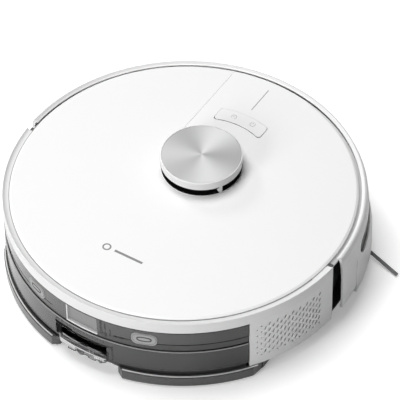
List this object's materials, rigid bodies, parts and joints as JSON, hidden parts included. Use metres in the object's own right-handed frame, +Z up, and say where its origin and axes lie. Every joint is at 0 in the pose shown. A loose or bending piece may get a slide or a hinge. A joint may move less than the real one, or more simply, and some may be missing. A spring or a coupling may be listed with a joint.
{
  "type": "robot vacuum",
  "caption": "Round floor-cleaning robot with a laser turret, sprung bumper, drive wheels, brushes and a rear dust and water tank with mop.",
  "frame": {"origin": "on the floor under the middle of the round body", "axes": "+Z up, +Y forwards towards the bumper, +X to the robot's right"},
  "size_m": [0.391, 0.3599, 0.105],
  "materials": {
    "white_shell": "satin moulded plastic",
    "grey_plastic": "satin moulded plastic",
    "dark_plastic": "fine texture moulded plastic",
    "smoke_plastic": "smoky translucent plastic",
    "clear_plastic": "clear plastic",
    "black_gloss": "gloss infrared window",
    "spun_metal": "spun with fine turning marks",
    "steel": "plated",
    "contact_metal": "plated contact",
    "tyre_rubber": "moulded rubber",
    "brush_rubber": "soft rubber blades",
    "bristle": "nylon bristle tuft",
    "mop_fabric": "microfibre pile",
    "filter_paper": "pleated filter paper",
    "board_green": "circuit board",
    "battery_wrap": "shrink wrap"
  },
  "bodies": {
    "chassis": {"lower_housing": "dark_plastic", "upper_housing": "white_shell", "side_panel_right": "white_shell", "side_panel_left": "white_shell", "top_cover": "white_shell", "key_switches": "dark_plastic", "main_board": "board_green", "turret_base": "dark_plastic", "turret_cover": "white_shell", "turret_cap": "spun_metal", "turret_motor": "steel", "bumper_switches": "dark_plastic", "wheel_housing_right": "dark_plastic", "wheel_housing_left": "dark_plastic", "brush_housing": "dark_plastic", "brush_bearings": "grey_plastic", "brush_motor": "steel", "brush_cover": "dark_plastic", "side_brush_motor_right": "grey_plastic", "side_brush_motor_left": "grey_plastic", "battery_pack": "battery_wrap", "battery_door": "dark_plastic", "cliff_sensors": "black_gloss", "charging_contacts": "contact_metal", "housing_screws": "steel", "speaker": "dark_plastic", "fan_housing": "dark_plastic"},
    "keys": {"key_plate": "white_shell"},
    "laser": {"laser_head": "black_gloss", "laser_lens": "black_gloss"},
    "pulley": {"turret_pulley": "dark_plastic"},
    "bumper_slide_body": {"bumper_guide": "dark_plastic"},
    "bumper": {"bumper_shell": "white_shell", "bumper_window_right": "black_gloss", "bumper_window_left": "black_gloss", "bumper_window_front": "black_gloss"},
    "arm_right": {"wheel_arm_right": "dark_plastic"},
    "arm_left": {"wheel_arm_left": "dark_plastic"},
    "wheel_right": {"wheel_hub_right": "grey_plastic", "tyre_right": "tyre_rubber"},
    "wheel_left": {"wheel_hub_left": "grey_plastic", "tyre_left": "tyre_rubber"},
    "caster": {"caster_fork": "dark_plastic"},
    "caster_roller": {"caster_wheel": "grey_plastic"},
    "roller_brush": {"main_brush": "brush_rubber"},
    "side_brush_r": {"side_brush_right": "bristle"},
    "side_brush_l": {"side_brush_left": "bristle"},
    "impeller": {"fan_impeller": "grey_plastic"},
    "tank": {"tank_shell": "smoke_plastic", "tank_label": "grey_plastic", "dust_divider": "smoke_plastic", "filter_frame": "grey_plastic", "filter_pleats": "filter_paper", "tank_base": "dark_plastic"},
    "button_right": {"tank_button_right": "grey_plastic"},
    "button_left": {"tank_button_left": "grey_plastic"},
    "flap": {"port_flap": "clear_plastic"},
    "mop": {"mop_bracket": "smoke_plastic", "mop_cloth": "mop_fabric"}
  },
  "joints": [
    {"name": "bumper_push", "type": "slide", "parent": "chassis", "child": "bumper_slide_body", "axis": [0, -1, 0], "range_m": [0, 0.0022], "stiffness_N_per_m": 600, "springref_m": -0.001},
    {"name": "bumper_tilt", "type": "hinge", "parent": "bumper_slide_body", "child": "bumper", "pos_m": [0, 0, 0.05], "axis": [0, 0, 1], "range_deg": [-1.5, 1.5], "stiffness_Nm_per_rad": 6},
    {"name": "key_rock", "type": "hinge", "parent": "chassis", "child": "keys", "pos_m": [0, 0.1055, 0.0836], "axis": [0, 1, 0], "range_deg": [-1, 1], "stiffness_Nm_per_rad": 0.5},
    {"name": "laser_spin", "type": "hinge", "parent": "chassis", "child": "laser", "pos_m": [0, 0.0317, 0.09], "axis": [0, 0, 1], "continuous": true},
    {"name": "pulley_spin", "type": "hinge", "parent": "chassis", "child": "pulley", "pos_m": [-0.029, 0.0317, 0.082], "axis": [0, 0, 1], "continuous": true},
    {"name": "arm_right_swing", "type": "hinge", "parent": "chassis", "child": "arm_right", "pos_m": [0.1, -0.052, 0.04], "axis": [1, 0, 0], "range_deg": [-25, 0]},
    {"name": "arm_left_swing", "type": "hinge", "parent": "chassis", "child": "arm_left", "pos_m": [-0.1, -0.052, 0.04], "axis": [1, 0, 0], "range_deg": [-25, 0]},
    {"name": "wheel_right_spin", "type": "hinge", "parent": "arm_right", "child": "wheel_right", "pos_m": [0.118, -0.008, 0.035], "axis": [1, 0, 0], "continuous": true},
    {"name": "wheel_left_spin", "type": "hinge", "parent": "arm_left", "child": "wheel_left", "pos_m": [-0.118, -0.008, 0.035], "axis": [1, 0, 0], "continuous": true},
    {"name": "caster_swivel", "type": "hinge", "parent": "chassis", "child": "caster", "pos_m": [0, 0.124, 0.03], "axis": [0, 0, 1], "continuous": true},
    {"name": "caster_roll", "type": "hinge", "parent": "caster", "child": "caster_roller", "pos_m": [0, 0.115, 0.013], "axis": [1, 0, 0], "continuous": true},
    {"name": "main_brush_spin", "type": "hinge", "parent": "chassis", "child": "roller_brush", "pos_m": [0, -0.028, 0.025], "axis": [1, 0, 0], "continuous": true},
    {"name": "side_brush_right_spin", "type": "hinge", "parent": "chassis", "child": "side_brush_r", "pos_m": [0.12, 0.0968, 0.01], "axis": [0, 0, 1], "continuous": true},
    {"name": "side_brush_left_spin", "type": "hinge", "parent": "chassis", "child": "side_brush_l", "pos_m": [-0.12, 0.0968, 0.01], "axis": [0, 0, 1], "continuous": true},
    {"name": "fan_spin", "type": "hinge", "parent": "chassis", "child": "impeller", "pos_m": [0.024, -0.028, 0.06], "axis": [0, 0, 1], "continuous": true},
    {"name": "tank_pull", "type": "slide", "parent": "chassis", "child": "tank", "axis": [0, -1, 0], "range_m": [0, 0.12]},
    {"name": "button_right_press", "type": "slide", "parent": "tank", "child": "button_right", "axis": [-0.3469, 0.9379, 0], "range_m": [0, 0.0025], "stiffness_N_per_m": 300, "springref_m": -0.001},
    {"name": "button_left_press", "type": "slide", "parent": "tank", "child": "button_left", "axis": [0.3469, 0.9379, 0], "range_m": [0, 0.0025], "stiffness_N_per_m": 300, "springref_m": -0.001},
    {"name": "flap_open", "type": "hinge", "parent": "tank", "child": "flap", "pos_m": [0, -0.1762, 0.0154], "axis": [1, 0, 0], "range_deg": [0, 70]},
    {"name": "mop_pull", "type": "slide", "parent": "tank", "child": "mop", "axis": [0, -1, 0], "range_m": [0, 0.105]}
  ],
  "couplings": [
    {"joint": "pulley_spin", "follows": "laser_spin", "ratio": 3}
  ]
}
